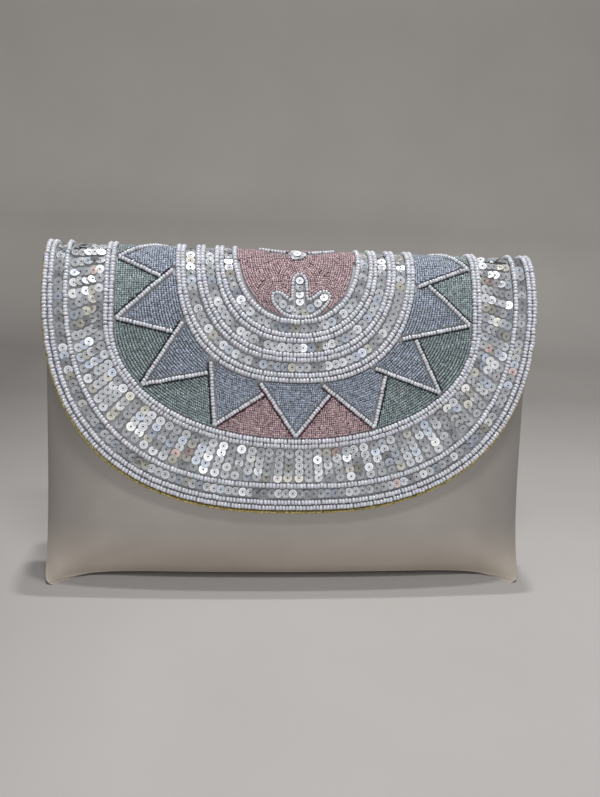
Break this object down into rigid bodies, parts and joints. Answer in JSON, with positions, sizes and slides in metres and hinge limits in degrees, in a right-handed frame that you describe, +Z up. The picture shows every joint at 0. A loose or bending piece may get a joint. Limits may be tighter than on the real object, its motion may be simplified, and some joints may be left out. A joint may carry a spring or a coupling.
{
  "type": "beaded clutch",
  "caption": "Envelope clutch of taupe leatherette: an upright open pouch under a rounded fold-over flap covered in rings of seed beads and sequins round a half sunburst.",
  "frame": {"origin": "centre of the bounding box at the table the clutch stands on", "axes": "+X across the clutch, the flap's front faces -Y, +Z up from the table"},
  "size_m": [0.2524, 0.056, 0.1722],
  "materials": {
    "leather": "smooth satin leatherette",
    "cloth": "plain backing cloth",
    "gold": "metallic gold cord",
    "pearl": "opaque pearl white",
    "sequin": "silver iridescent",
    "blue": "lustred pale blue",
    "green": "lustred grey green",
    "rose": "lustred dusty rose"
  },
  "bodies": {
    "root": {"pouch": "leather", "flap": "cloth", "flap_edging": "gold", "border_beads": "pearl", "border_sequins": "sequin", "border_row": "pearl", "sequin_bars": "sequin", "petal_border": "pearl", "petal_outline": "pearl", "petal_0": "blue", "petal_1": "blue", "petal_2": "blue", "petal_3": "blue", "petal_4": "blue", "petal_5": "blue", "petal_6": "blue", "petal_7": "blue", "petal_8": "blue", "petal_9": "blue", "petal_10": "blue", "gap_0": "green", "gap_1": "green", "gap_2": "green", "gap_3": "green", "gap_4": "rose", "gap_5": "rose", "gap_6": "green", "gap_7": "green", "gap_8": "green", "gap_9": "green", "centre_beads_1": "pearl", "centre_beads_2": "pearl", "centre_beads_3": "pearl", "centre_beads_4": "pearl", "centre_sequins_1": "sequin", "centre_sequins_2": "sequin", "centre_sequins_3": "sequin", "centre_field": "rose", "motif_left": "sequin", "motif_middle": "sequin", "motif_right": "sequin", "fold_rosette": "sequin"}
  },
  "joints": []
}
